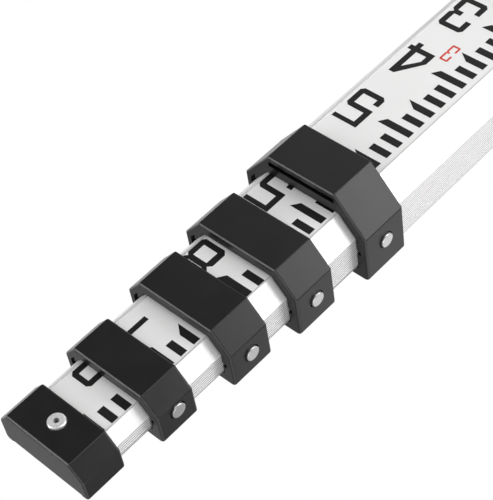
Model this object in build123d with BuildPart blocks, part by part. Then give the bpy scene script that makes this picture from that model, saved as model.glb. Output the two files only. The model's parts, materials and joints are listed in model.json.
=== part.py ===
"""A five-section telescopic leveling staff, closed, standing on its foot.

The origin is in the middle of the foot's underside and +Z runs up the staff. The scale faces
look towards -Y and the release buttons are on the -X side. All sizes are in millimetres.
"""

import os
from math import degrees, radians, tan

from build123d import *

# Sections: a flat scale face, two bevels, two ribbed sides and a flat back
base_width = 51.0
base_depth = 27.4
base_bevel_width = 8.1
bevel_angle = 50.0
wall = 1.2
nest_gap = 0.8
back_corner_radius = 1.0
scale_recess_depth = 0.3
scale_recess_lip = 0.7
rib_groove_depth = 0.3
rib_groove_width = 0.4
rib_pitch = 1.05
rib_margin = 0.7

# Heights when closed, and how far sections 2 to 5 slide out to where the scale runs on
first_collar_base = 1087.6
collar_heights = (20.2, 18.3, 18.1, 16.2)
shown_lengths = (15.2, 12.3, 15.6, 14.9)
section_travels = (866.7, 967.7, 847.8, 962.0)

# Collars and cap
collar_wall = 2.5
collar_lip = 1.5
collar_mouth_gap = 0.4
collar_back_rise = 0.6
collar_edge_radius = 0.8
collar_back_radius = 2.0
first_collar_front_rise = 4.1
front_slot_width = 30.0
front_slot_height = 2.2
front_slot_depth = 9.0
front_slot_lip = 2.2
keyway_width = 2.0
keyway_depth = 1.4
lip_notch_inset = 0.7
lip_notch_length = 3.1
lip_notch_depth = 7.0
cap_height = 16.5
cap_end_wall = 2.5
cap_back_foot_width = 3.2
cap_back_recess = 1.2

# Release buttons
button_diameter = 5.8
button_proud = 0.8
button_edge_radius = 0.35
button_travel = 0.6
button_drop = 0.4
button_middles = (3.4, 3.5, 3.3, 0.6)
button_play = 0.1
button_side_gap = 0.45
counterbore_depth = 0.9
web_thickness = 0.8
stem_diameter = 3.0
button_stop_diameter = 3.6
button_stop_thickness = 0.3
button_tip_diameter = 1.6
button_tip_rounding = 0.9

# Lock levers, their pins and their springs
lever_width = 3.6
lever_thickness = 0.8
lever_press_thickness = 0.5
lever_below_button = 1.2
lever_above_pin = 1.2
pivot_rise = 2.4
pivot_diameter = 0.8
pivot_length = 6.0
pivot_gap = 0.1
pivot_running_gap = 0.05
lock_pin_rise = 6.0
lock_pin_diameter = 1.8
lock_pin_gap = 0.3
lock_hole_diameter = 2.4
lever_side_gap = 0.4
lever_end_gap = 0.4
lever_press_gap = 0.15
lever_swing_gap = 0.2
deep_pocket_rise = 4.2
spring_thickness = 0.2
spring_width = 3.0
spring_gap = 0.05

# Guide plugs and base shoe
plug_flange_height = 6.0
plug_spigot_height = 10.0
plug_fit_gap = 0.05
plug_slide_gap = 0.3
stack_gap = 0.3
shoe_wall = 2.5
shoe_floor = 4.0
shoe_height = 30.0
shoe_spigot_top = 26.0
shoe_edge_radius = 0.8

# Pop rivets
rivet_flange_diameter = 6.5
rivet_flange_height = 0.9
rivet_flange_radius = 0.6
rivet_shank_diameter = 3.2
rivet_bore_diameter = 2.0
rivet_bore_depth = 3.0
rivet_tail_diameter = 4.4
rivet_tail_length = 2.0
rivet_hole_gap = 0.05
cap_rivet_drop = 9.0
shoe_rivet_rise = 16.0
shoe_rivet_grip = 5.0

section_count = 5
nest_step = wall + nest_gap
through_cut = 2 * wall
tube_outer = nest_step
collar_outer = tube_outer + collar_wall


def grow(section):
    """Offset of a section's outline from the base section's; sections count from 0."""
    return -section * nest_step


def half_width(offset):
    return base_width / 2 + offset


def front(offset):
    return -base_depth / 2 - offset


def face_half(offset):
    return base_width / 2 - base_bevel_width + offset * tan(radians(bevel_angle / 2))


def side_start(offset):
    """Y where the bevel ends and the flat side begins."""
    return front(offset) + (half_width(offset) - face_half(offset)) * tan(radians(bevel_angle))


def outline(offset, front_rise=0.0, back_rise=0.0, corner=back_corner_radius):
    """The staff's outline, offset from the base section's; the rises move its front and back outwards."""
    raised_face = face_half(offset) - front_rise / tan(radians(bevel_angle))
    raised_front = front(offset) - front_rise
    back = -front(offset) + back_rise
    flat_side = back - side_start(offset)
    corners = [
        (raised_face, raised_front),
        (half_width(offset), side_start(offset)),
        (half_width(offset), back),
    ]
    mirrored = [(-x, y) for x, y in reversed(corners)]
    with BuildSketch() as profile:
        with BuildLine():
            Polyline(*corners, *mirrored, close=True)
        make_face()
        fillet(profile.vertices().group_by(Axis.Y)[-1], radius=min(corner, flat_side / 2))
    return profile.sketch


def ribbed_outline(offset):
    """A section's outside: the outline with the scale recess and the rib grooves."""
    flat = -front(offset) - back_corner_radius - side_start(offset) - 2 * rib_margin
    grooves = int(flat / rib_pitch) + 1
    groove_middle = (side_start(offset) - front(offset) - back_corner_radius) / 2
    with BuildSketch() as profile:
        add(outline(offset))
        with Locations((0, front(offset))):
            Rectangle(2 * (face_half(offset) - scale_recess_lip), 2 * scale_recess_depth, mode=Mode.SUBTRACT)
        with Locations((0, groove_middle)):
            with GridLocations(2 * half_width(offset), rib_pitch, 2, grooves):
                Rectangle(2 * rib_groove_depth, rib_groove_width, mode=Mode.SUBTRACT)
    return profile.sketch


def mouth_side(collar):
    return half_width(grow(collar + 1)) + collar_mouth_gap


def lip_notch(collar):
    """Part of a section's outline that is open through its collar's lip, away from the button."""
    notch_end = side_start(grow(collar + 1)) + lip_notch_length
    with BuildSketch() as notch:
        add(outline(grow(collar)))
        with Locations((mouth_side(collar) - lip_notch_inset, notch_end)):
            Rectangle(base_width, base_depth, align=(Align.MIN, Align.MAX), mode=Mode.INTERSECT)
    return notch.sketch


def save(piece, name):
    piece.label = name
    export_step(piece, f"parts/{name}.step")


# Heights along the staff, worked up from the first collar and from the foot
collar_bases = [first_collar_base]
for height, shown in zip(collar_heights, shown_lengths):
    collar_bases.append(collar_bases[-1] + height + shown)
cap_base = collar_bases.pop()
collar_tops = [base + height for base, height in zip(collar_bases, collar_heights)]
staff_top = cap_base + cap_height
tube_tops = [top - collar_lip for top in collar_tops] + [staff_top - cap_end_wall]

plug_bases = [None, shoe_spigot_top + stack_gap]
for section in range(2, section_count):
    plug_bases.append(plug_bases[-1] + plug_flange_height + plug_spigot_height + stack_gap)
tube_bases = [shoe_floor] + [base + plug_flange_height for base in plug_bases[1:]]

# Levels in a collar's side, measured outwards from the face of the section that slides in it
counterbore_floor = collar_outer - counterbore_depth
web_inside = counterbore_floor - web_thickness
lever_outer = tube_outer
lever_inner = lever_outer - lever_thickness
press_face = lever_inner + lever_press_thickness
pivot_level = tube_outer + pivot_gap + pivot_diameter / 2
lever_top = lock_pin_rise + lever_above_pin
lever_swing = button_travel * (lever_top - pivot_rise) / pivot_rise
deep_pocket_floor = lever_outer + lever_swing + lever_swing_gap
pocket_width = lever_width + 2 * lever_side_gap
pocket_bottom = -button_stop_diameter / 2 - lever_end_gap
pocket_top = lever_top + lever_end_gap


def button_height(collar):
    return collar_bases[collar] + collar_heights[collar] / 2 - button_drop


def side_plane(collar, level=0.0):
    """Plane across a button's axis: its x runs up the staff and its z points outwards."""
    inner_side = half_width(grow(collar + 1))
    place = (-inner_side - level, button_middles[collar], button_height(collar))
    return Plane(origin=place, x_dir=(0, 0, 1), z_dir=(-1, 0, 0))


def lever_plane(collar):
    """Upright plane through a button's axis: its x points outwards and its y runs up."""
    inner_side = half_width(grow(collar + 1))
    place = (-inner_side, button_middles[collar], button_height(collar))
    return Plane(origin=place, x_dir=(-1, 0, 0), z_dir=(0, 1, 0))


def front_plane(height, offset):
    """Plane on the front face of an outline, facing the scale side."""
    return Plane(origin=(0, front(offset), height), x_dir=(1, 0, 0), z_dir=(0, -1, 0))


def back_plane(height, offset):
    return Plane(origin=(0, -front(offset), height), x_dir=(-1, 0, 0), z_dir=(0, 1, 0))


def rivet(plane, grip, tail):
    """A pop rivet whose flange sits on the plane; its shank goes in by grip, then the tail."""
    with BuildPart() as body:
        with BuildSketch(plane):
            Circle(rivet_flange_diameter / 2)
        extrude(amount=rivet_flange_height)
        flange_top = body.faces().sort_by(Axis(plane.origin, plane.z_dir))[-1]
        fillet(flange_top.edges(), radius=rivet_flange_radius)
        with BuildSketch(plane):
            Circle(rivet_shank_diameter / 2)
        extrude(amount=-grip)
        if tail > 0:
            with BuildSketch(plane.offset(-grip)):
                Circle(rivet_tail_diameter / 2)
            extrude(amount=-tail)
        with BuildSketch(plane.offset(rivet_flange_height)):
            Circle(rivet_bore_diameter / 2)
        extrude(amount=-rivet_bore_depth, mode=Mode.SUBTRACT)
    return body.part


os.makedirs("parts", exist_ok=True)

section_names = ["base_section"] + [f"section_{number}" for number in range(2, section_count + 1)]
rivet_hole_radius = rivet_shank_diameter / 2 + rivet_hole_gap
cap_rivet_height = staff_top - cap_rivet_drop

# Sections: extruded tubes with a notch for the lock lever and a hole for the lock pin
for section, name in enumerate(section_names):
    with BuildPart() as tube:
        with BuildSketch(Plane.XY.offset(tube_bases[section])):
            add(ribbed_outline(grow(section)))
            add(outline(grow(section) - wall), mode=Mode.SUBTRACT)
        extrude(amount=tube_tops[section] - tube_bases[section])
        if section < section_count - 1:
            notch_top = tube_tops[section] - button_height(section)
            with BuildSketch(side_plane(section)):
                with Locations((pocket_bottom, 0)):
                    Rectangle(notch_top - pocket_bottom, pocket_width, align=(Align.MIN, Align.CENTER))
            extrude(amount=tube_outer, mode=Mode.SUBTRACT)
            with BuildSketch(Plane.XY.offset(tube_tops[section])):
                add(lip_notch(section))
            extrude(amount=-lip_notch_depth, mode=Mode.SUBTRACT)
        else:
            with BuildSketch(front_plane(cap_rivet_height, grow(section))):
                Circle(rivet_hole_radius)
            extrude(amount=-through_cut, mode=Mode.SUBTRACT)
        if section > 0:
            hole_rise = lock_pin_rise - section_travels[section - 1]
            with BuildSketch(side_plane(section - 1)):
                with Locations((hole_rise, 0)):
                    Circle(lock_hole_diameter / 2)
            extrude(amount=-through_cut, mode=Mode.SUBTRACT)
        else:
            for plane in (front_plane(shoe_rivet_rise, 0), back_plane(shoe_rivet_rise, 0)):
                with BuildSketch(plane):
                    Circle(rivet_hole_radius)
                extrude(amount=-through_cut, mode=Mode.SUBTRACT)
    save(tube.part, name)

# Collars: bored for their section, with a lip round the next one, a button seat and a lever pocket
for index in range(section_count - 1):
    outside = grow(index) + collar_wall
    front_rise = first_collar_front_rise if index == 0 else 0.0
    base, top = collar_bases[index], collar_tops[index]
    with BuildPart() as collar:
        with BuildSketch(Plane.XY.offset(base)):
            add(outline(outside, front_rise, collar_back_rise, collar_back_radius))
        extrude(amount=top - base)
        fillet(collar.edges(), radius=collar_edge_radius)
        with BuildSketch(Plane.XY.offset(base)):
            add(outline(grow(index)))
        extrude(amount=top - base - collar_lip, mode=Mode.SUBTRACT)
        with BuildSketch(Plane.XY.offset(base)):
            add(outline(grow(index + 1) + collar_mouth_gap))
            with Locations((-mouth_side(index), button_middles[index])):
                Rectangle(2 * keyway_depth, keyway_width)
            add(lip_notch(index))
        extrude(amount=top - base, mode=Mode.SUBTRACT)
        if front_rise > 0:
            slot_middle = front(outside) - front_rise + front_slot_lip + front_slot_height / 2
            with BuildSketch(Plane.XY.offset(top)):
                with Locations((0, slot_middle)):
                    Rectangle(front_slot_width, front_slot_height)
            extrude(amount=-front_slot_depth, mode=Mode.SUBTRACT)
        with BuildSketch(side_plane(index, counterbore_floor)):
            Circle(button_diameter / 2 + button_side_gap)
        extrude(amount=counterbore_depth, mode=Mode.SUBTRACT)
        with BuildSketch(side_plane(index, web_inside)):
            Circle(stem_diameter / 2 + button_play)
        extrude(amount=web_thickness, mode=Mode.SUBTRACT)
        with BuildSketch(side_plane(index)):
            with Locations((pocket_bottom, 0)):
                Rectangle(pocket_top - pocket_bottom, pocket_width, align=(Align.MIN, Align.CENTER))
        extrude(amount=web_inside, mode=Mode.SUBTRACT)
        with BuildSketch(side_plane(index)):
            with Locations((deep_pocket_rise, 0)):
                Rectangle(pocket_top - deep_pocket_rise, pocket_width, align=(Align.MIN, Align.CENTER))
        extrude(amount=deep_pocket_floor, mode=Mode.SUBTRACT)
        with BuildSketch(lever_plane(index)):
            with Locations((pivot_level, pivot_rise)):
                Circle(pivot_diameter / 2 + pivot_running_gap)
            with Locations((tube_outer, pivot_rise)):
                Rectangle(
                    pivot_level - tube_outer,
                    pivot_diameter + 2 * pivot_running_gap,
                    align=(Align.MIN, Align.CENTER),
                )
        extrude(amount=pivot_length / 2 + pivot_running_gap, both=True, mode=Mode.SUBTRACT)
    save(collar.part, f"collar_{index + 1}")

# Release buttons: a domed head, a stem through the collar, a stop and a round tip
head_base = counterbore_floor + button_travel + button_play
stop_top = web_inside - button_play
tip_level = press_face + lever_press_gap
for index in range(section_count - 1):
    with BuildPart() as button:
        with BuildSketch(side_plane(index, head_base)):
            Circle(button_diameter / 2)
        extrude(amount=collar_outer + button_proud - head_base)
        fillet(button.faces().sort_by(Axis.X)[0].edges(), radius=button_edge_radius)
        with BuildSketch(side_plane(index, stop_top)):
            Circle(stem_diameter / 2)
        extrude(amount=head_base - stop_top)
        with BuildSketch(side_plane(index, stop_top)):
            Circle(button_stop_diameter / 2)
        extrude(amount=-button_stop_thickness)
        tip_height = stop_top - button_stop_thickness - tip_level
        with BuildSketch(side_plane(index, tip_level)):
            Circle(button_tip_diameter / 2)
        extrude(amount=tip_height)
        tip_radius = button_tip_rounding * min(button_tip_diameter / 2, tip_height)
        fillet(button.faces().sort_by(Axis.X)[-1].edges(), radius=tip_radius)
    save(button.part, f"release_button_{index + 1}")

# Lock levers: a cranked plate on a pivot rod, with the lock pin at its upper end
for index in range(section_count - 1):
    with BuildPart() as lever:
        with BuildSketch(lever_plane(index)):
            with Locations((lever_inner, -lever_below_button)):
                Rectangle(lever_press_thickness, lever_below_button + pivot_rise, align=Align.MIN)
            with Locations((lever_inner, pivot_rise - pivot_diameter / 2)):
                Rectangle(lever_thickness, lever_top - pivot_rise + pivot_diameter / 2, align=Align.MIN)
            with Locations((lever_inner, pivot_rise)):
                Rectangle(
                    pivot_level - lever_inner,
                    pivot_diameter,
                    align=(Align.MIN, Align.CENTER),
                )
        extrude(amount=lever_width / 2, both=True)
        with BuildSketch(lever_plane(index)):
            with Locations((pivot_level, pivot_rise)):
                Circle(pivot_diameter / 2)
        extrude(amount=pivot_length / 2, both=True)
        with BuildSketch(side_plane(index, lock_pin_gap)):
            with Locations((lock_pin_rise, 0)):
                Circle(lock_pin_diameter / 2)
        extrude(amount=lever_inner - lock_pin_gap)
    save(lever.part, f"lock_lever_{index + 1}")

# Lever springs: arched leaves between a lever's upper arm and the floor of its pocket
spring_rise = deep_pocket_floor - lever_outer - 2 * spring_gap
spring_span = pocket_top - deep_pocket_rise - 2 * lever_end_gap
spring_radius = (spring_span**2 / 4 + spring_rise**2) / (2 * spring_rise)
spring_centre = deep_pocket_floor - spring_gap - spring_rise + spring_radius
spring_middle = (pocket_top + deep_pocket_rise) / 2
for index in range(section_count - 1):
    with BuildPart() as spring:
        with BuildSketch(lever_plane(index)):
            with Locations((spring_centre, spring_middle)):
                Circle(spring_radius)
                Circle(spring_radius - spring_thickness, mode=Mode.SUBTRACT)
            with Locations((deep_pocket_floor - spring_gap, spring_middle)):
                Rectangle(
                    spring_rise,
                    2 * spring_radius,
                    align=(Align.MAX, Align.CENTER),
                    mode=Mode.INTERSECT,
                )
        extrude(amount=spring_width / 2, both=True)
    save(spring.part, f"lever_spring_{index + 1}")

# Guide plugs: a flange that slides in the section outside and a spigot pressed into its own
for section in range(1, section_count):
    with BuildPart() as plug:
        with BuildSketch(Plane.XY.offset(plug_bases[section])):
            add(outline(grow(section - 1) - wall - plug_slide_gap))
        extrude(amount=plug_flange_height)
        with BuildSketch(Plane.XY.offset(plug_bases[section] + plug_flange_height)):
            add(outline(grow(section) - wall - plug_fit_gap))
        extrude(amount=plug_spigot_height)
    save(plug.part, f"guide_plug_{section + 1}")

# Cap: a closed cup on the upper end of the last section, slightly hollow along its back
last = section_count - 1
cap_offset = grow(last) + collar_wall
with BuildPart() as cap:
    with BuildSketch(Plane.XY.offset(cap_base)):
        add(outline(cap_offset, corner=collar_back_radius))
    extrude(amount=cap_height)
    fillet(cap.edges(), radius=collar_edge_radius)
    with BuildSketch(Plane.XY.offset(cap_base)):
        add(outline(grow(last)))
    extrude(amount=cap_height - cap_end_wall, mode=Mode.SUBTRACT)
    with BuildSketch(Plane.XY.offset(cap_base)):
        with Locations((0, -front(cap_offset))):
            Rectangle(2 * (half_width(cap_offset) - cap_back_foot_width), 2 * cap_back_recess)
    extrude(amount=cap_height, mode=Mode.SUBTRACT)
    with BuildSketch(front_plane(cap_rivet_height, cap_offset)):
        Circle(rivet_hole_radius)
    extrude(amount=-collar_wall, mode=Mode.SUBTRACT)
save(cap.part, "top_cap")
cap_rivet = rivet(front_plane(cap_rivet_height, cap_offset), collar_wall + wall, rivet_tail_length)
save(cap_rivet, "cap_rivet")

# Base shoe: a cup round the foot with a block inside that the closed sections stand on
with BuildPart() as shoe:
    with BuildSketch():
        add(outline(shoe_wall, corner=collar_back_radius))
    extrude(amount=shoe_height)
    fillet(shoe.edges(), radius=shoe_edge_radius)
    with BuildSketch(Plane.XY.offset(shoe_floor)):
        add(outline(0))
    extrude(amount=shoe_height - shoe_floor, mode=Mode.SUBTRACT)
    with BuildSketch(Plane.XY.offset(shoe_floor)):
        add(outline(-wall - plug_fit_gap))
    extrude(amount=shoe_spigot_top - shoe_floor)
    for plane in (front_plane(shoe_rivet_rise, shoe_wall), back_plane(shoe_rivet_rise, shoe_wall)):
        with BuildSketch(plane):
            Circle(rivet_hole_radius)
        extrude(amount=-shoe_wall - wall - shoe_rivet_grip, mode=Mode.SUBTRACT)
save(shoe.part, "base_shoe")

rivet_grip = shoe_wall + wall + shoe_rivet_grip
shoe_rivets = Compound(children=[
    rivet(front_plane(shoe_rivet_rise, shoe_wall), rivet_grip, 0.0),
    rivet(back_plane(shoe_rivet_rise, shoe_wall), rivet_grip, 0.0),
])
save(shoe_rivets, "shoe_rivets")

swing_degrees = degrees(button_travel / pivot_rise)
print("staff height", staff_top, "lever swing about", round(swing_degrees, 2), "degrees")
for index in range(section_count - 1):
    pivot = -half_width(grow(index + 1)) - pivot_level
    print("collar", index + 1, "pivot", pivot, button_middles[index], button_height(index) + pivot_rise)
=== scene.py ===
"""Looks of the telescopic leveling staff: finishes, printed scale, studio light and camera.

The staff stands on its foot at the origin and its scale faces look towards -Y. Lengths are in
metres, but names that end in _MM and the outlines of the scale are in millimetres.
"""

import json
from math import cos, pi, radians, sin, sqrt

import bmesh
import bpy
from mathutils import Matrix, Vector
from mathutils.geometry import tessellate_polygon


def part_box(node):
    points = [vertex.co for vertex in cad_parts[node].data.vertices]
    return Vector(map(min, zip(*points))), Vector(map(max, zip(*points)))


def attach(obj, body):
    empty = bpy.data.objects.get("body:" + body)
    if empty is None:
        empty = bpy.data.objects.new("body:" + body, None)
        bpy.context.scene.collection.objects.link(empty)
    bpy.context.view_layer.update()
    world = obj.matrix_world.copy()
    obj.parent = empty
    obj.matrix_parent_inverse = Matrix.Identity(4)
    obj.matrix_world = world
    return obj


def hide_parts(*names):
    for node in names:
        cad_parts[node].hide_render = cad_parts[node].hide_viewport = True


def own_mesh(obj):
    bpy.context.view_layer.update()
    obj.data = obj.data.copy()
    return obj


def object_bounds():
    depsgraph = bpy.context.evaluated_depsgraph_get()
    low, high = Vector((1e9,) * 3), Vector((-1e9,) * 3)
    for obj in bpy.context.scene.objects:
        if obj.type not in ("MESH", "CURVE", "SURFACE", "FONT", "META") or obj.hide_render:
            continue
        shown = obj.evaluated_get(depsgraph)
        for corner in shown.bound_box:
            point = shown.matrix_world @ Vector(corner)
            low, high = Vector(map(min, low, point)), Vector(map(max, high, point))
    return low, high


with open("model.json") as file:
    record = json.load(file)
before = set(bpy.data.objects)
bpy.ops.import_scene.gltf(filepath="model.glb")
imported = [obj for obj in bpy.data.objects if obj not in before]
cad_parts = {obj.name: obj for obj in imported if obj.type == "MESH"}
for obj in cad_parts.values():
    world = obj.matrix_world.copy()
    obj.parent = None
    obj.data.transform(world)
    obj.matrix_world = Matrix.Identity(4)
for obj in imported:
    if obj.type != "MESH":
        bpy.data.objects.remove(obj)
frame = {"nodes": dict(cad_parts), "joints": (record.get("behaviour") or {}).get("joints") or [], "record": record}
cad_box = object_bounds()

MM = 0.001
FRONT = (0, -1, 0)
BACK = (0, 1, 0)
UP = (0, 0, 1)

# The sections from the outermost to the innermost, their bodies, and what is on their upper ends
SECTIONS = ("base_section", "section_2", "section_3", "section_4", "section_5")
BODIES = ("base", "section_2", "section_3", "section_4", "section_5")
ENDS = ("collar_1", "collar_2", "collar_3", "collar_4", "top_cap")
RIVETS = ("cap_rivet", "shoe_rivets")

# The scale: feet, tenths and hundredths, with bars that start at these hundredths above each tenth
HUNDREDTH_MM = 3.048
TENTH_MM = 10 * HUNDREDTH_MM
SHORT_BARS = (1, 3, 7)
HALF_BAR = 5
FULL_BAR = 9

# Ends of the bars across the face, one for each section; the longer bars end in a slant
BAR_OUTER_MM = (-14.35, -14.6, -15.1, -13.1, -12.7)
SHORT_BAR_MM = (-6.1, -6.5, -6.85, -6.0, -5.6)
HALF_BAR_LOWER_MM = (-2.4, -2.7, -2.9, -2.85, -2.6)
HALF_BAR_UPPER_MM = (-6.7, -7.0, -7.0, -6.65, -6.1)
FULL_BAR_LOWER_MM = (-2.4, -2.85, -3.1, -2.9, -2.6)
FULL_BAR_UPPER_MM = (-0.1, -0.45, -0.85, -0.6, -0.5)

# Numerals of each section, centred a little below their lines; two digits share one field
NUMERAL_LEFT_MM = (4.2, 4.0, 3.6, 3.4, 3.15)
NUMERAL_WIDTH_MM = (11.3, 11.4, 11.7, 9.8, 9.3)
NUMERAL_STEM_MM = (2.4, 2.4, 2.65, 2.1, 2.3)
NUMERAL_BAR_MM = (2.4, 2.4, 2.35, 2.1, 2.1)
NUMERAL_HEIGHT_MM = 18.0
NUMERAL_DROP_MM = HUNDREDTH_MM / 2
TWO_DIGIT_GAP_MM = 0.9
TWO_DIGIT_STROKE = 0.75

# Small red numerals that repeat the feet beside two of the tenths
SMALL_FOOT_TENTHS = (3, 8)
SMALL_FOOT_LEFT_MM = -1.2
SMALL_FOOT_WIDTH_MM = 3.7
SMALL_FOOT_HEIGHT_MM = 8.8
SMALL_FOOT_STROKE_MM = 0.8
SMALL_FOOT_RISE_MM = 2.95

# Proportions of the digits
CUT_PER_STEM = 0.56
SERIF_PER_HEIGHT = 0.37
ONE_FLAG_PER_STEM = 1.1
THREE_TONGUE_PER_WIDTH = 0.55
FOUR_STEM_PER_WIDTH = 0.63
FOUR_KNEE_PER_HEIGHT = 0.44
FIVE_DROP_PER_BAR = 0.16
FIVE_SERIF_PER_HEIGHT = 0.28
SEVEN_STEM_PER_WIDTH = 0.3

# Coats of enamel and ink, which go on a little way under a collar, the cap or the shoe
ENAMEL_MM = 0.08
ENAMEL_SIDE_GAP_MM = 0.01
INK_MM = 0.05
COVERED_MM = 3.0

# Tolerances for finding a section's lips, edges and recess in its mesh
LIP_TOLERANCE = 0.1 * MM
EDGE_TOLERANCE = 0.01 * MM
RECESS_LIMIT = 1 * MM

# Broken-off mandrels that stay in the rivets, as (radius, height) from the floor of the bore
RIVET_BORE_MM = 3.0
MANDREL_MM = ((0, 0), (0.6, 0), (0.6, 2.05), (0.46, 2.25), (0.26, 2.18), (0, 2.32))
TURNED_SIDES = 28

# Colours of the darker and the lighter spots of each material, and the range of noise between them
TUBE_COLOURS = ((0.95, 0.951, 0.953), (0.98, 0.981, 0.983))
ENAMEL_COLOURS = ((0.85, 0.85, 0.845), (0.88, 0.88, 0.875))
BLACK_INK_COLOURS = ((0.006, 0.006, 0.006), (0.011, 0.011, 0.011))
RED_INK_COLOURS = ((0.62, 0.055, 0.04), (0.72, 0.075, 0.055))
BLACK_MOULDING_COLOURS = ((0.0035, 0.0035, 0.0036), (0.0055, 0.0055, 0.0056))
WHITE_MOULDING_COLOURS = ((0.74, 0.735, 0.71), (0.80, 0.795, 0.77))
BUTTON_COLOURS = ((0.54, 0.54, 0.545), (0.61, 0.61, 0.61))
RIVET_COLOURS = ((0.92, 0.92, 0.925), (0.98, 0.98, 0.98))
LEVER_COLOURS = ((0.50, 0.50, 0.51), (0.62, 0.62, 0.62))
SPRING_COLOURS = ((0.34, 0.35, 0.38), (0.47, 0.48, 0.5))
# The mandrels' near-black colour is painted shade of the rivet bores
MANDREL_SHADE_COLOURS = ((0.05, 0.05, 0.052), (0.10, 0.10, 0.102))
FLOOR_COLOURS = ((0.84, 0.84, 0.84), (0.87, 0.87, 0.87))
RAMP_START = 0.3
RAMP_END = 0.7

# Roughness of the glossier and the duller spots of each material
TUBE_ROUGHNESS = (0.40, 0.48)
ENAMEL_ROUGHNESS = (0.34, 0.46)
INK_ROUGHNESS = (0.38, 0.52)
BLACK_MOULDING_ROUGHNESS = (0.32, 0.38)
WHITE_MOULDING_ROUGHNESS = (0.42, 0.56)
BUTTON_ROUGHNESS = (0.26, 0.32)
RIVET_ROUGHNESS = (0.26, 0.38)
LEVER_ROUGHNESS = (0.3, 0.42)
SPRING_ROUGHNESS = (0.22, 0.34)
MANDREL_ROUGHNESS = (0.3, 0.45)
FLOOR_ROUGHNESS = 0.7

# Painted shade on the tubes: in the grooves of the ribbed sides, in a line along the back of the ribs, and on the
# lips, whose normals face the front. A stop is a place on a material's colour ramp
GROOVE_DEPTH = 0.1 * MM
GROOVE_SHADE_STOP = 0.1
GROOVE_SHADE_COLOUR = (0.42, 0.42, 0.425)
BASE_GROOVE_SHADE_COLOUR = (0.64, 0.64, 0.645)
CORNER_SHADE_LINE = 1.3 * MM
CORNER_SHADE_SHIFT = 0.15 * MM
LIP_FACING = -0.9
# How much shade is painted on the lips of the upper sections and of the base
LIP_SHADE = 0.6
BASE_LIP_SHADE = 0.74

# Painted highlight, with some rubbing wear, on the upper edges of the black mouldings: the upward share of their
# normals, and their colour
HIGHLIGHT_EDGE_RISE = 0.6
HIGHLIGHT_EDGE_REACH = 0.32
EDGE_HIGHLIGHT_STOP = 1.0
EDGE_HIGHLIGHT_COLOUR = (0.075, 0.075, 0.076)

# Floor and surround
FLOOR_RADIUS = 0.55
FLOOR_SIDES = 96
FLOOR_DROP = 0.2 * MM
WHITE = (1, 1, 1, 1)
AMBIENT = 0.27

# Lights on the staff's head, and two that look up past it at the sections that are drawn out
HEAD_DROP = 0.105
HEAD = Vector((0, 0, cad_box[1].z - HEAD_DROP))
MAST = Vector((0, 0, 5.0))
OPEN_GRID = 180
STRIP_SLANT = (0, 0.875, 0.484)
LIGHTS = (
    dict(name="key_side", place=(-0.98, -0.44, 0.23), size=(0.9, 0.8), watts=2.03, grid=62),
    dict(name="fill_back", place=(-0.67, 0.99, 0.34), size=(0.9, 0.7), watts=1.62),
    dict(name="back_panel", place=(0.99, 1.19, 0.84), size=(1.3, 1.5), watts=6.2),
    dict(name="side_light", place=(-1.35, 0.48, 1.35), size=(0.8, 0.8), watts=7.0),
    dict(name="front_low", place=(0.47, -0.70, 0.28), size=(1.2, 0.8), watts=1.7),
    dict(name="front_main", place=(-0.52, -1.35, 0.75), size=(0.8, 0.8), watts=6.1),
    dict(name="edge_strip", place=(0.77, -0.64, 2.25), size=(0.42, 2.4), watts=15.0, along=STRIP_SLANT),
    dict(name="mast_front", place=(-1.3, -1.6, 0.9), size=(0.6, 0.6), watts=26.0, target=MAST, grid=90),
    dict(name="mast_back", place=(1.3, 1.6, 0.9), size=(0.6, 0.6), watts=12.0, target=MAST, grid=70),
)

# Camera: found from the collars' corners in the photo
CAMERA_PLACE = (-0.27039, -0.40627, 1.35696)
CAMERA_RIGHT = (-0.72811, 0.12157, -0.67460)
CAMERA_UP = (0.45675, -0.64778, -0.60972)
FOCAL_PIXELS = 1554.15
IMAGE_LONG_SIDE = 500
SENSOR_MM = 36.0
CLIP_NEAR = 0.01
CLIP_FAR = 50


# Outlines of the scale, in x to the right and z up

def rectangle(left, low, right, high):
    """Corners of an upright rectangle."""
    return [(left, low), (right, low), (right, high), (left, high)]


def turned(points, width, height):
    """The points turned by half a turn about the middle of a digit's field."""
    return [(width - x, height - z) for x, z in points]


def moved(shape, right, up):
    """A shape of an outline and holes, moved across the face."""
    outline, holes = shape
    return (
        [(x + right, z + up) for x, z in outline],
        [[(x + right, z + up) for x, z in hole] for hole in holes],
    )


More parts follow.
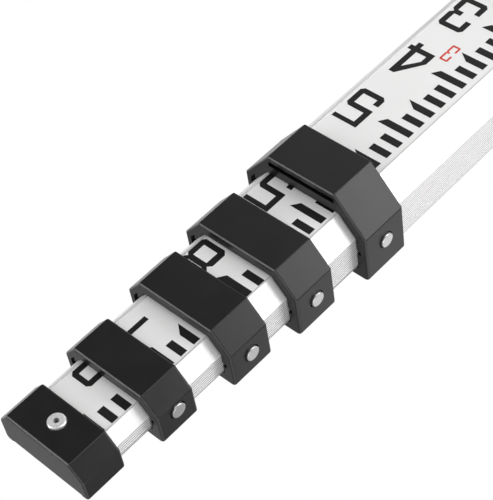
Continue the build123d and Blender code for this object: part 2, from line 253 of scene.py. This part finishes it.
def numeral(digit, width, height, stem, bar):
    """Outline of a digit and its holes, from its lower left corner.

    Its upright strokes are stem wide, its level strokes are bar high and its corners are cut.
    """
    middle = height / 2
    lower, upper = middle - bar / 2, middle + bar / 2
    inner, under = width - stem, height - bar
    cut = CUT_PER_STEM * stem
    right_cut, top_cut = width - cut, height - cut
    serif = SERIF_PER_HEIGHT * height
    hook = height - serif

    # Stretches that several digits share
    base = [(cut, 0), (right_cut, 0), (width, cut)]
    waist = [(width, middle - cut), (right_cut, middle), (width, middle + cut)]
    bowl = [(width, upper - cut), (right_cut, upper), (stem, upper), (stem, under)]
    roof = [(width, top_cut), (right_cut, height), (cut, height), (0, top_cut)]
    hooked = [(0, hook), (stem, hook), (stem, under), (inner, under)]
    lower_hole = rectangle(stem, bar, inner, lower)
    upper_hole = rectangle(stem, upper, inner, under)

    if digit == 0:
        return [*base, *roof, (0, cut)], [rectangle(stem, bar, inner, under)]
    if digit == 1:
        left = inner / 2
        flag = left - ONE_FLAG_PER_STEM * stem
        outline = [(left, 0), (left + stem, 0), (left + stem, height)]
        return [*outline, (flag, height), (flag, under), (left, under)], []
    if digit == 2:
        outline = [(0, 0), (width, 0), (width, bar), (stem, bar), (stem, lower), (right_cut, lower)]
        outline += [(width, lower + cut), *roof, *hooked]
        return [*outline, (inner, upper), (cut, upper), (0, upper - cut)], []
    if digit == 3:
        tongue = THREE_TONGUE_PER_WIDTH * width
        outline = [*base, *waist, *roof, *hooked, (inner, upper), (tongue, upper), (tongue, lower)]
        outline += [(inner, lower), (inner, bar), (stem, bar), (stem, serif), (0, serif), (0, cut)]
        return outline, []
    if digit == 4:
        left = FOUR_STEM_PER_WIDTH * width
        knee = FOUR_KNEE_PER_HEIGHT * height
        slope = stem * sqrt(1 + (left / (height - knee)) ** 2)
        outline = [(left, 0), (left + stem, 0), (left + stem, bar), (width, bar), (width, 2 * bar)]
        outline += [(left + stem, 2 * bar), (left + stem, height), (left, height), (0, knee)]
        hole = [(stem, 2 * bar), (left, 2 * bar)]
        hole += [(left, height - slope * (height - knee) / left), (stem, knee)]
        return [*outline, (0, bar), (left, bar)], [hole]
    if digit == 5:
        flat = height - FIVE_DROP_PER_BAR * bar
        tip = FIVE_SERIF_PER_HEIGHT * height
        outline = [*base, *bowl, (width, under), (width, flat), (0, flat), (0, lower), (inner, lower)]
        return [*outline, (inner, bar), (stem, bar), (stem, tip), (0, tip), (0, cut)], []
    if digit == 6:
        return [*base, *bowl, (inner, under), (inner, hook), (width, hook), *roof, (0, cut)], [lower_hole]
    if digit == 7:
        left = SEVEN_STEM_PER_WIDTH * width
        bend = (sqrt(2) - 1) * stem
        reach = width - left - stem
        outline = [(left, 0), (left + stem, 0), (left + stem, middle), (width, middle + reach)]
        outline += [(width, height), (0, height), *hooked]
        return [*outline, (inner, middle + bend + reach), (left, middle + bend)], []
    if digit == 8:
        outline = [*base, *waist, *roof, (0, middle + cut), (cut, middle), (0, middle - cut), (0, cut)]
        return outline, [lower_hole, upper_hole]
    # A 9 is a 6 turned over
    outline, holes = numeral(6, width, height, stem, bar)
    return turned(outline, width, height), [turned(hole, width, height) for hole in holes]


def foot_shapes(number, left, width, low, height, strokes):
    """The one or two digits of a whole number of feet, side by side in one field."""
    digits = [int(letter) for letter in str(number)]
    if len(digits) == 1:
        return [moved(numeral(digits[0], width, height, *strokes), left, low)]
    each = (width - TWO_DIGIT_GAP_MM) / 2
    thin = [TWO_DIGIT_STROKE * stroke for stroke in strokes]
    pairs = zip(digits, (left, left + each + TWO_DIGIT_GAP_MM))
    return [moved(numeral(digit, each, height, *thin), place, low) for digit, place in pairs]


def bar_shape(section, hundredth, low):
    """Outline of one bar of the scale; the longer bars end in a slant."""
    high = low + HUNDREDTH_MM
    outer = BAR_OUTER_MM[section]
    lower_end = upper_end = SHORT_BAR_MM[section]
    if hundredth == HALF_BAR:
        lower_end, upper_end = HALF_BAR_LOWER_MM[section], HALF_BAR_UPPER_MM[section]
    if hundredth == FULL_BAR:
        lower_end, upper_end = FULL_BAR_LOWER_MM[section], FULL_BAR_UPPER_MM[section]
    return [(outer, low), (lower_end, low), (upper_end, high), (outer, high)], []


def print_section(section, offset, lowest, highest):
    """Black and red shapes of one section's scale; its reading at height z is z + offset."""
    black, red = [], []
    left, width = NUMERAL_LEFT_MM[section], NUMERAL_WIDTH_MM[section]
    strokes = (NUMERAL_STEM_MM[section], NUMERAL_BAR_MM[section])
    first = int((lowest + offset) / TENTH_MM)
    last = int((highest + offset) / TENTH_MM) + 1

    def fits(low, height):
        return low >= lowest and low + height <= highest

    for tenth in range(first, last + 1):
        line = tenth * TENTH_MM - offset
        foot, digit = divmod(tenth, 10)
        for hundredth in (*SHORT_BARS, HALF_BAR, FULL_BAR):
            low = line + hundredth * HUNDREDTH_MM
            if fits(low, HUNDREDTH_MM):
                black.append(bar_shape(section, hundredth, low))
        low = line - NUMERAL_DROP_MM - NUMERAL_HEIGHT_MM / 2
        if tenth > 0 and fits(low, NUMERAL_HEIGHT_MM):
            if digit:
                black.append(moved(numeral(digit, width, NUMERAL_HEIGHT_MM, *strokes), left, low))
            else:
                red += foot_shapes(foot, left, width, low, NUMERAL_HEIGHT_MM, strokes)
        low = line + TENTH_MM / 2 + SMALL_FOOT_RISE_MM - SMALL_FOOT_HEIGHT_MM / 2
        if foot > 0 and digit in SMALL_FOOT_TENTHS and fits(low, SMALL_FOOT_HEIGHT_MM):
            place = (SMALL_FOOT_LEFT_MM, SMALL_FOOT_WIDTH_MM, low, SMALL_FOOT_HEIGHT_MM)
            red += foot_shapes(foot, *place, (SMALL_FOOT_STROKE_MM, SMALL_FOOT_STROKE_MM))
    return black, red


# Meshes, and what is read from the sections' own meshes

def closed_mesh(bm, name):
    """The finished mesh of closed pieces, with their faces turned outwards."""
    bmesh.ops.recalc_face_normals(bm, faces=bm.faces)
    mesh = bpy.data.meshes.new(name)
    bm.to_mesh(mesh)
    bm.free()
    return mesh


def printed_mesh(name, shapes, back, thickness):
    """A mesh of flat closed pieces that lie on the plane y = back and face -Y."""
    bm = bmesh.new()
    for outline, holes in shapes:
        loops = [[Vector((x * MM, 0, z * MM)) for x, z in loop] for loop in (outline, *holes)]
        points = [point for loop in loops for point in loop]
        front_points = [bm.verts.new((point.x, back - thickness, point.z)) for point in points]
        back_points = [bm.verts.new((point.x, back, point.z)) for point in points]
        for a, b, c in tessellate_polygon(loops):
            # Each triangle is turned to face -Y
            if (points[b] - points[a]).cross(points[c] - points[a]).y > 0:
                b, c = c, b
            bm.faces.new((front_points[a], front_points[b], front_points[c]))
            bm.faces.new((back_points[a], back_points[c], back_points[b]))
        start = 0
        for loop in loops:
            count = len(loop)
            for step in range(count):
                i, j = start + step, start + (step + 1) % count
                bm.faces.new((front_points[i], front_points[j], back_points[j], back_points[i]))
            start += count
    return closed_mesh(bm, name)


def turned_mesh(name, profile, places):
    """A mesh of pieces turned from a profile of (radius, height), one for each (base, direction)."""
    bm = bmesh.new()
    turns = [2 * pi * step / TURNED_SIDES for step in range(TURNED_SIDES)]
    for base, direction in places:
        axis = Vector(direction)
        across = Vector((1, 0, 0))
        along = axis.cross(across)
        rings = []
        for radius, height in profile:
            centre = Vector(base) + axis * height
            if radius == 0:
                rings.append([bm.verts.new(centre)])
                continue
            spokes = [(across * cos(turn) + along * sin(turn)) * radius for turn in turns]
            rings.append([bm.verts.new(centre + spoke) for spoke in spokes])
        for lower, upper in zip(rings, rings[1:]):
            for i in range(TURNED_SIDES):
                j = (i + 1) % TURNED_SIDES
                corners = [lower[i % len(lower)], lower[j % len(lower)]]
                corners += [upper[j % len(upper)], upper[i % len(upper)]]
                # Beside a ring of one point the face is a triangle
                bm.faces.new(list(dict.fromkeys(corners)))
    mesh = closed_mesh(bm, name)
    mesh.shade_smooth()
    return mesh


def recess_of(node):
    """Half width and floor of the shallow recess in a section's face, read from its mesh."""
    low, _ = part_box(node)
    points = [vertex.co for vertex in frame["nodes"][node].data.vertices]
    half = min(abs(point.x) for point in points if point.y < low.y + LIP_TOLERANCE)
    walls = [point.y for point in points if abs(abs(point.x) - half) < EDGE_TOLERANCE]
    return half, max(y for y in walls if y < low.y + RECESS_LIMIT)


def ribs_of(node):
    """Half width of a section, and the span in y of its ribbed sides, read from its mesh."""
    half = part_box(node)[1].x
    points = [vertex.co for vertex in frame["nodes"][node].data.vertices]
    lands = [point.y for point in points if point.x > half - EDGE_TOLERANCE]
    return half, min(lands), max(lands)


def bores(low, high, directions):
    """Floors of the rivet bores in a box, each with the direction that its bore opens to."""
    middle = (low.z + high.z) / 2
    floors = {FRONT: low.y + RIVET_BORE_MM * MM, BACK: high.y - RIVET_BORE_MM * MM}
    return [((0, floors[direction], middle), direction) for direction in directions]


def add_piece(name, mesh, body, material=None):
    """A new piece of the object that rides on a body, with a material unless its mesh has one."""
    piece = bpy.data.objects.new(name, mesh)
    bpy.context.scene.collection.objects.link(piece)
    if material:
        piece.data.materials.append(material)
    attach(piece, body)
    return piece


# Nodes of the materials, which get their grain, wear, painted shade and painted highlights from the object's own
# coordinates and normals

def new_material(name, metallic=0.0, specular=0.5):
    """A material with one shader; returns both."""
    material = bpy.data.materials.new(name)
    material.use_nodes = True
    shader = material.node_tree.nodes["Principled BSDF"]
    shader.inputs["Metallic"].default_value = metallic
    shader.inputs["Specular IOR Level"].default_value = specular
    return material, shader


def add_noise(material, per_metre, stretch=(1, 1, 1), detail=2.0):
    """Noise with so many spots in a metre, stretched per axis; returns its output socket."""
    nodes, links = material.node_tree.nodes, material.node_tree.links
    coordinates = nodes.new("ShaderNodeTexCoord")
    mapping = nodes.new("ShaderNodeMapping")
    mapping.inputs["Scale"].default_value = stretch
    noise = nodes.new("ShaderNodeTexNoise")
    noise.inputs["Scale"].default_value = per_metre
    noise.inputs["Detail"].default_value = detail
    links.new(coordinates.outputs["Object"], mapping.inputs["Vector"])
    links.new(mapping.outputs["Vector"], noise.inputs["Vector"])
    return noise.outputs["Fac"]


def add_axes(material, kind):
    """The X, Y and Z sockets of the object's own coordinates (Object) or of its normals (Normal)."""
    nodes, links = material.node_tree.nodes, material.node_tree.links
    coordinates = nodes.new("ShaderNodeTexCoord")
    axes = nodes.new("ShaderNodeSeparateXYZ")
    links.new(coordinates.outputs[kind], axes.inputs["Vector"])
    return axes.outputs


def add_math(material, operation, *values):
    """A math node on sockets or numbers; returns its output socket."""
    node = material.node_tree.nodes.new("ShaderNodeMath")
    node.operation = operation
    for socket, value in zip(node.inputs, values):
        if isinstance(value, (int, float)):
            socket.default_value = value
        else:
            material.node_tree.links.new(value, socket)
    return node.outputs["Value"]


def near(material, value, centre, reach):
    """1 where a value lies within reach of a centre, and 0 elsewhere."""
    away = add_math(material, "ABSOLUTE", add_math(material, "SUBTRACT", value, centre))
    return add_math(material, "LESS_THAN", away, reach)


def plain_parts(material, node, lip_shade):
    """1 on the unshaded parts of a section, and 1 minus the lips' painted shade on the lips beside its scale.

    It is 0 in the grooves of the ribbed sides and in a line where they end at the back, which get painted shade.
    """
    half, low, high = ribs_of(node)
    place = add_axes(material, "Object")
    normal = add_axes(material, "Normal")
    across = add_math(material, "ABSOLUTE", place["X"])
    # Painted shade in the grooves of the ribbed sides
    sunk = add_math(material, "LESS_THAN", across, half - GROOVE_DEPTH)
    after = add_math(material, "GREATER_THAN", place["Y"], low)
    before = add_math(material, "LESS_THAN", place["Y"], high)
    grooves = add_math(material, "MULTIPLY", sunk, add_math(material, "MULTIPLY", after, before))
    # A painted shadow line where the ribs end at the back
    corner = near(material, place["Y"], high + CORNER_SHADE_SHIFT, CORNER_SHADE_LINE / 2)
    # Painted shade on the lips, whose normals face the front
    facing = add_math(material, "LESS_THAN", normal["Y"], LIP_FACING)
    lips = add_math(material, "MULTIPLY", facing, lip_shade)
    painted_shade = add_math(material, "MAXIMUM", add_math(material, "MAXIMUM", grooves, corner), lips)
    return add_math(material, "SUBTRACT", 1.0, painted_shade)


def upper_edges(material):
    """1 on the rounded upper edges, whose normals lie between level and upward, and 0 elsewhere; a highlight is
    painted there.
    """
    return near(material, add_axes(material, "Normal")["Z"], HIGHLIGHT_EDGE_RISE, HIGHLIGHT_EDGE_REACH)


def colour_by(material, shader, factor, colours):
    """Base colour that runs between two colours with a factor; returns its ramp."""
    nodes, links = material.node_tree.nodes, material.node_tree.links
    node = nodes.new("ShaderNodeValToRGB")
    ramp = node.color_ramp
    for element, position, colour in zip(ramp.elements, (RAMP_START, RAMP_END), colours):
        element.position = position
        element.color = (*colour, 1)
    links.new(factor, node.inputs["Fac"])
    links.new(node.outputs["Color"], shader.inputs["Base Color"])
    return ramp


def roughness_by(material, shader, factor, span):
    """Roughness that runs over a span as a factor goes from 0 to 1."""
    nodes, links = material.node_tree.nodes, material.node_tree.links
    spread = nodes.new("ShaderNodeMapRange")
    spread.inputs["To Min"].default_value, spread.inputs["To Max"].default_value = span
    links.new(factor, spread.inputs["Value"])
    links.new(spread.outputs["Result"], shader.inputs["Roughness"])


def bump_by(material, shader, height, strength, depth):
    """Fine relief that follows a height."""
    nodes, links = material.node_tree.nodes, material.node_tree.links
    bump = nodes.new("ShaderNodeBump")
    bump.inputs["Strength"].default_value = strength
    bump.inputs["Distance"].default_value = depth
    links.new(height, bump.inputs["Height"])
    links.new(bump.outputs["Normal"], shader.inputs["Normal"])


# Materials

def anodised_tube(node):
    """Satin silver anodised extrusion with fine die lines along it, and painted shade in its grooves, on its lips
    and in a line behind its ribs.
    """
    material, shader = new_material(f"anodised_{node}", metallic=0.28)
    lines = add_noise(material, per_metre=2200, stretch=(1, 1, 0.004), detail=3.0)
    cloud = add_noise(material, per_metre=45)
    groove_shade_colour, lip_shade = GROOVE_SHADE_COLOUR, LIP_SHADE
    # The base section gets a lighter painted shade in its grooves and on its lips
    if node == "base_section":
        groove_shade_colour, lip_shade = BASE_GROOVE_SHADE_COLOUR, BASE_LIP_SHADE
    shown = add_math(material, "MULTIPLY", lines, plain_parts(material, node, lip_shade))
    ramp = colour_by(material, shader, shown, TUBE_COLOURS)
    # Where the factor is low the ramp runs to a darker colour: painted shade in the grooves, the line behind the
    # ribs and on the lips
    ramp.elements.new(GROOVE_SHADE_STOP).color = (*groove_shade_colour, 1)
    roughness_by(material, shader, cloud, TUBE_ROUGHNESS)
    bump_by(material, shader, lines, strength=0.02, depth=0.02 * MM)
    return material


def white_enamel():
    """Baked white paint of the scale faces, with a faint orange peel."""
    material, shader = new_material("white_enamel")
    cloud = add_noise(material, per_metre=35)
    peel = add_noise(material, per_metre=900)
    colour_by(material, shader, cloud, ENAMEL_COLOURS)
    roughness_by(material, shader, cloud, ENAMEL_ROUGHNESS)
    bump_by(material, shader, peel, strength=0.08, depth=0.05 * MM)
    return material


def printing_ink(name, colours):
    """Screen-printed ink that is a little uneven in cover and gloss."""
    material, shader = new_material(name, specular=0.25)
    cover = add_noise(material, per_metre=260)
    grain = add_noise(material, per_metre=5000)
    colour_by(material, shader, cover, colours)
    roughness_by(material, shader, cover, INK_ROUGHNESS)
    bump_by(material, shader, grain, strength=0.06, depth=0.02 * MM)
    return material


def black_moulding():
    """Black moulded plastic with a fine spark-eroded grain, uneven gloss and a painted highlight, with some
    rubbing wear, on its upper edges.
    """
    material, shader = new_material("black_moulding", specular=0.4)
    grain = add_noise(material, per_metre=6500)
    cloud = add_noise(material, per_metre=120)
    even = add_math(material, "MINIMUM", cloud, RAMP_END)
    # The upper edges run to a lighter colour: a painted highlight, with some rubbing wear
    rubbed_and_highlit = add_math(material, "MAXIMUM", even, upper_edges(material))
    ramp = colour_by(material, shader, rubbed_and_highlit, BLACK_MOULDING_COLOURS)
    ramp.elements.new(EDGE_HIGHLIGHT_STOP).color = (*EDGE_HIGHLIGHT_COLOUR, 1)
    roughness_by(material, shader, cloud, BLACK_MOULDING_ROUGHNESS)
    bump_by(material, shader, grain, strength=0.16, depth=0.03 * MM)
    return material


def white_moulding():
    """Off-white moulded plastic of the guide plugs."""
    material, shader = new_material("white_moulding")
    cloud = add_noise(material, per_metre=90)
    grain = add_noise(material, per_metre=4000)
    colour_by(material, shader, cloud, WHITE_MOULDING_COLOURS)
    roughness_by(material, shader, cloud, WHITE_MOULDING_ROUGHNESS)
    bump_by(material, shader, grain, strength=0.1, depth=0.03 * MM)
    return material


def bright_metal():
    """Satin plated metal of the buttons, with fine handling marks."""
    material, shader = new_material("bright_metal", metallic=0.85)
    marks = add_noise(material, per_metre=2400, stretch=(1, 1, 0.15))
    cloud = add_noise(material, per_metre=260)
    colour_by(material, shader, cloud, BUTTON_COLOURS)
    roughness_by(material, shader, marks, BUTTON_ROUGHNESS)
    bump_by(material, shader, marks, strength=0.02, depth=0.02 * MM)
    return material


def rivet_metal():
    """Soft bright aluminium of the pop rivets, burnished by the setting tool."""
    material, shader = new_material("rivet_metal", metallic=0.65)
    cloud = add_noise(material, per_metre=700)
    colour_by(material, shader, cloud, RIVET_COLOURS)
    roughness_by(material, shader, cloud, RIVET_ROUGHNESS)
    bump_by(material, shader, cloud, strength=0.05, depth=0.03 * MM)
    return material


def plain_steel(name, colours, roughness):
    """Plain or hardened steel of the lock parts and the mandrels, with rolling marks."""
    material, shader = new_material(name, metallic=1.0)
    rolling = add_noise(material, per_metre=2600, stretch=(1, 1, 0.08))
    colour_by(material, shader, rolling, colours)
    roughness_by(material, shader, rolling, roughness)
    bump_by(material, shader, rolling, strength=0.1, depth=0.02 * MM)
    return material


def pale_floor():
    """Matt pale ground with faint clouds."""
    material, shader = new_material("pale_floor")
    cloud = add_noise(material, per_metre=3)
    colour_by(material, shader, cloud, FLOOR_COLOURS)
    shader.inputs["Roughness"].default_value = FLOOR_ROUGHNESS
    return material


# Light

def softbox(name, place, size, watts, target=HEAD, along=UP, grid=OPEN_GRID):
    """A rectangular area light that faces a target; its height runs along a direction.

    A grid narrows its beam to an angle in degrees.
    """
    light = bpy.data.lights.new(name, "AREA")
    light.shape = "RECTANGLE"
    light.size, light.size_y = size
    light.energy = watts
    light.spread = radians(grid)
    lamp = bpy.data.objects.new(name, light)
    outward = (Vector(place) - target).normalized()
    across = Vector(along).cross(outward).normalized()
    axes = Matrix((across, outward.cross(across), outward)).transposed().to_4x4()
    lamp.matrix_world = Matrix.Translation(place) @ axes
    bpy.context.scene.collection.objects.link(lamp)


# Finish of each node
finishes = {
    "black_moulding": black_moulding(),
    "bright_metal": bright_metal(),
    "lever_steel": plain_steel("lever_steel", LEVER_COLOURS, LEVER_ROUGHNESS),
    "spring_steel": plain_steel("spring_steel", SPRING_COLOURS, SPRING_ROUGHNESS),
    "white_moulding": white_moulding(),
}
rivet_finish = rivet_metal()
for subpart in frame["record"]["subparts"]:
    name = subpart["node"]
    if name in SECTIONS:
        finish = anodised_tube(name)
    elif name in RIVETS:
        finish = rivet_finish
    else:
        finish = finishes[subpart["material_slot"]]
    materials = frame["nodes"][name].data.materials
    materials.clear()
    materials.append(finish)

# Scale faces: a painted strip in each section's recess, with its bars and numerals
enamel = white_enamel()
black_ink = printing_ink("black_ink", BLACK_INK_COLOURS)
red_ink = printing_ink("red_ink", RED_INK_COLOURS)
travels = {
    joint["child"]: joint["range_m"][1] for joint in frame["joints"] if joint["name"].endswith("_slide")
}
offset = 0.0
for index, (node, body, end) in enumerate(zip(SECTIONS, BODIES, ENDS)):
    half, recess_floor = recess_of(node)
    strip_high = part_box(node)[1].z / MM
    if end == "top_cap":
        strip_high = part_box(end)[0].z / MM + COVERED_MM
    if index == 0:
        strip_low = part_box("base_shoe")[1].z / MM - COVERED_MM
        print_low = strip_low
    else:
        strip_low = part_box(node)[0].z / MM
        print_low = (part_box(ENDS[index - 1])[1].z - travels[body]) / MM - COVERED_MM
        offset += travels[body] / MM
    side = half / MM - ENAMEL_SIDE_GAP_MM
    strip = (rectangle(-side, strip_low, side, strip_high), [])
    black, red = print_section(index, offset, print_low, strip_high)
    ink_back = recess_floor - ENAMEL_MM * MM
    coats = (
        ("scale_face", [strip], recess_floor, ENAMEL_MM, "anodised_tube", enamel),
        ("scale_print", black, ink_back, INK_MM, "black_moulding", black_ink),
        ("foot_numerals", red, ink_back, INK_MM, "anodised_tube", red_ink),
    )
    for kind, shapes, back, thickness, slot, material in coats:
        name = f"{kind}_{index + 1}"
        add_piece(name, printed_mesh(name, shapes, back, thickness * MM), body, material)

# Lever springs: a copy of each spring leaf rides on its section in place of the part's own mesh
for index, body in enumerate(BODIES[:-1], start=1):
    name = f"lever_spring_{index}"
    low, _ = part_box(name)
    leaf = add_piece(f"leaf_{index}", frame["nodes"][name].data.copy(), body)
    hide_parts(name)
    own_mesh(leaf)

# Mandrels in the rivets' bores, whose near-black colour is painted shade of the deep bores
shaded_mandrel_steel = plain_steel("shaded_mandrel_steel", MANDREL_SHADE_COLOURS, MANDREL_ROUGHNESS)
mandrel = [(radius * MM, height * MM) for radius, height in MANDREL_MM]
low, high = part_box("cap_rivet")
mesh = turned_mesh("cap_mandrel", mandrel, bores(low, high, [FRONT]))
add_piece("cap_mandrel", mesh, "section_5", shaded_mandrel_steel)
low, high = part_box("shoe_rivets")
mesh = turned_mesh("shoe_mandrels", mandrel, bores(low, high, [FRONT, BACK]))
add_piece("shoe_mandrels", mesh, "base", shaded_mandrel_steel)

# Floor: a round disc just under the foot
ground = cad_box[0].z - FLOOR_DROP
bpy.ops.mesh.primitive_circle_add(
    vertices=FLOOR_SIDES, radius=FLOOR_RADIUS, fill_type="NGON", location=(0, 0, ground)
)
floor_disc = bpy.context.object
floor_disc.name = "floor"
floor_disc.data.materials.append(pale_floor())

# Surround: a dim even light, and plain white where the camera sees it
world = bpy.data.worlds.new("studio")
world.use_nodes = True
bpy.context.scene.world = world
nodes, links = world.node_tree.nodes, world.node_tree.links
surround = nodes["Background"]
surround.inputs["Color"].default_value = WHITE
surround.inputs["Strength"].default_value = AMBIENT
backdrop = nodes.new("ShaderNodeBackground")
backdrop.inputs["Color"].default_value = WHITE
light_path = nodes.new("ShaderNodeLightPath")
choose = nodes.new("ShaderNodeMixShader")
links.new(light_path.outputs["Is Camera Ray"], choose.inputs["Fac"])
links.new(surround.outputs["Background"], choose.inputs[1])
links.new(backdrop.outputs["Background"], choose.inputs[2])
links.new(choose.outputs["Shader"], nodes["World Output"].inputs["Surface"])

# Lights
for light in LIGHTS:
    softbox(**light)

# Camera at the photo's point of view
right, up = Vector(CAMERA_RIGHT).normalized(), Vector(CAMERA_UP).normalized()
camera_axes = Matrix((right, up, right.cross(up))).transposed().to_4x4()
camera_data = bpy.data.cameras.new("camera")
camera_data.sensor_width = SENSOR_MM
camera_data.lens = FOCAL_PIXELS / IMAGE_LONG_SIDE * SENSOR_MM
camera_data.clip_start = CLIP_NEAR
camera_data.clip_end = CLIP_FAR
camera = bpy.data.objects.new("camera", camera_data)
camera.matrix_world = Matrix.Translation(CAMERA_PLACE) @ camera_axes
bpy.context.scene.collection.objects.link(camera)
bpy.context.scene.camera = camera
bpy.context.scene.view_settings.view_transform = "Standard"
